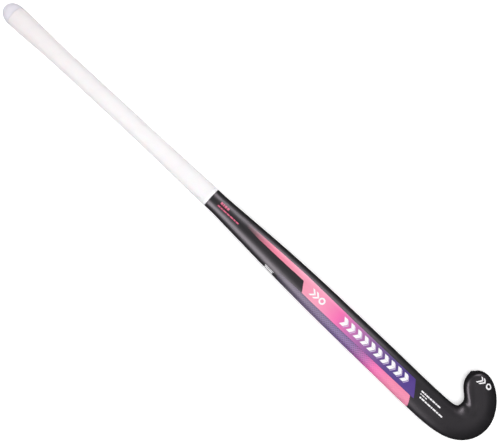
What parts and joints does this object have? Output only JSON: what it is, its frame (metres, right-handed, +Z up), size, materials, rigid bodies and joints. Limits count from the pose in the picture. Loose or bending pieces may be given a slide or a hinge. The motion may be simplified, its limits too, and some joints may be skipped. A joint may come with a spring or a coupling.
{
  "type": "field hockey stick",
  "caption": "Composite field hockey stick lying face down: hollow bowed shaft with a J-shaped hook, white spiral grip, butt cap and printed back.",
  "frame": {"origin": "centre of the stick's bounding box, on the floor it lies on", "axes": "+X from the butt of the handle to the hook, +Y towards the toe, +Z up out of the rounded back; the flat playing side faces down"},
  "size_m": [0.9269, 0.1134, 0.0469],
  "materials": {
    "satin_black_lacquer": "satin lacquer over carbon laminate",
    "rigid_foam": "closed-cell foam",
    "bare_laminate": "unpainted carbon laminate",
    "silicone": "soft translucent silicone",
    "plug_plastic": "moulded plastic",
    "cap_rubber": "smooth lavender-grey rubber",
    "adhesive_tape": "double-sided tape",
    "grip_polyurethane": "cushioned polyurethane, matte",
    "finishing_tape": "smooth vinyl tape",
    "printed_film": "satin printed film, pink to violet",
    "printed_white": "satin white print"
  },
  "bodies": {
    "root": {"composite_shell": "satin_black_lacquer", "head_core": "rigid_foam", "shaft_divider": "bare_laminate", "damping_sleeve": "silicone", "handle_plug": "plug_plastic", "butt_cap": "cap_rubber", "adhesive_tape": "adhesive_tape", "grip_band": "grip_polyurethane", "finishing_tape": "finishing_tape", "back_panel_film": "printed_film", "heel_band_film": "printed_film", "spec_film": "printed_film", "model_film": "printed_film", "toe_emblem_film": "printed_film", "edge_mark_film": "printed_film", "face_panel_film": "printed_film", "face_band_film": "printed_film"}
  },
  "joints": []
}
